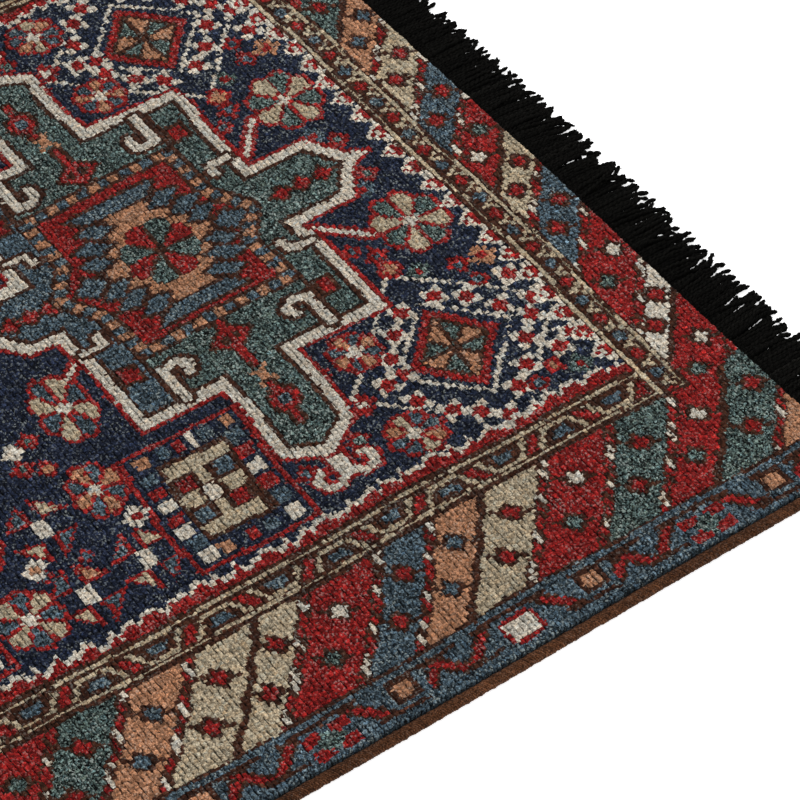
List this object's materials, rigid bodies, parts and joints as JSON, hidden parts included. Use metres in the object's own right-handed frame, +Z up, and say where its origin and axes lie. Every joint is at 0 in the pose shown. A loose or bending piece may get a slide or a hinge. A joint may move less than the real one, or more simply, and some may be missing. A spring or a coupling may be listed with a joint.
{
  "type": "area rug",
  "caption": "Hand-knotted rectangular wool rug with medallion field, striped borders, bound selvages and black end fringes.",
  "frame": {"origin": "middle of the underside, on the floor", "axes": "+Z up out of the pile, Y along the length (the warp), X across the width (the weft)"},
  "size_m": [1.22, 1.96, 0.0115],
  "materials": {
    "pile_navy": "cut wool pile, matt with a soft sheen",
    "pile_red": "cut wool pile, matt with a soft sheen",
    "pile_teal": "cut wool pile, matt with a soft sheen",
    "pile_ivory": "cut wool pile, matt with a soft sheen",
    "pile_beige": "cut wool pile, matt with a soft sheen",
    "pile_camel": "cut wool pile, matt with a soft sheen",
    "pile_blue": "cut wool pile, matt with a soft sheen",
    "selvage_wool": "tightly wound brown wool yarn",
    "foundation_cotton": "undyed spun cotton, woven",
    "fringe_tape": "black woven tape",
    "fringe_cord": "black plied yarn, slightly fuzzy",
    "sewing_thread": "black spun sewing thread"
  },
  "bodies": {
    "rug": {"field_ground_1": "pile_navy", "field_ground_2": "pile_navy", "field_ground_3": "pile_navy", "field_ground_4": "pile_navy", "foundation": "foundation_cotton", "fringe_stitching_a": "sewing_thread", "fringe_stitching_b": "sewing_thread", "fringe_tape_a": "fringe_tape", "fringe_tape_b": "fringe_tape", "inner_guard_end_a": "pile_beige", "inner_guard_end_b": "pile_beige", "inner_guard_side_a": "pile_beige", "inner_guard_side_b": "pile_beige", "main_border_end_a": "pile_camel", "main_border_end_b": "pile_camel", "main_border_side_a": "pile_camel", "main_border_side_b": "pile_camel", "medallion_a": "pile_teal", "medallion_b": "pile_teal", "medallion_box_a": "pile_red", "medallion_box_b": "pile_red", "medallion_box_centre": "pile_red", "medallion_centre": "pile_teal", "outer_guard_side_a": "pile_blue", "outer_guard_side_b": "pile_blue", "sawtooth_edge_end_a": "pile_ivory", "sawtooth_edge_end_b": "pile_ivory", "sawtooth_edge_side_a": "pile_ivory", "sawtooth_edge_side_b": "pile_ivory", "selvage_core_a": "foundation_cotton", "selvage_core_b": "foundation_cotton", "selvage_wrap_a": "selvage_wool", "selvage_wrap_b": "selvage_wool"},
    "fringe_end_a": {"fringe_a": "fringe_cord"},
    "fringe_end_b": {"fringe_b": "fringe_cord"}
  },
  "joints": [
    {"name": "fringe_a_flip", "type": "hinge", "parent": "rug", "child": "fringe_end_a", "pos_m": [0, 0.9156, 0.0083], "axis": [1, 0, 0], "range_deg": [0, 180]},
    {"name": "fringe_b_flip", "type": "hinge", "parent": "rug", "child": "fringe_end_b", "pos_m": [0, -0.9156, 0.0083], "axis": [-1, 0, 0], "range_deg": [0, 180]}
  ]
}
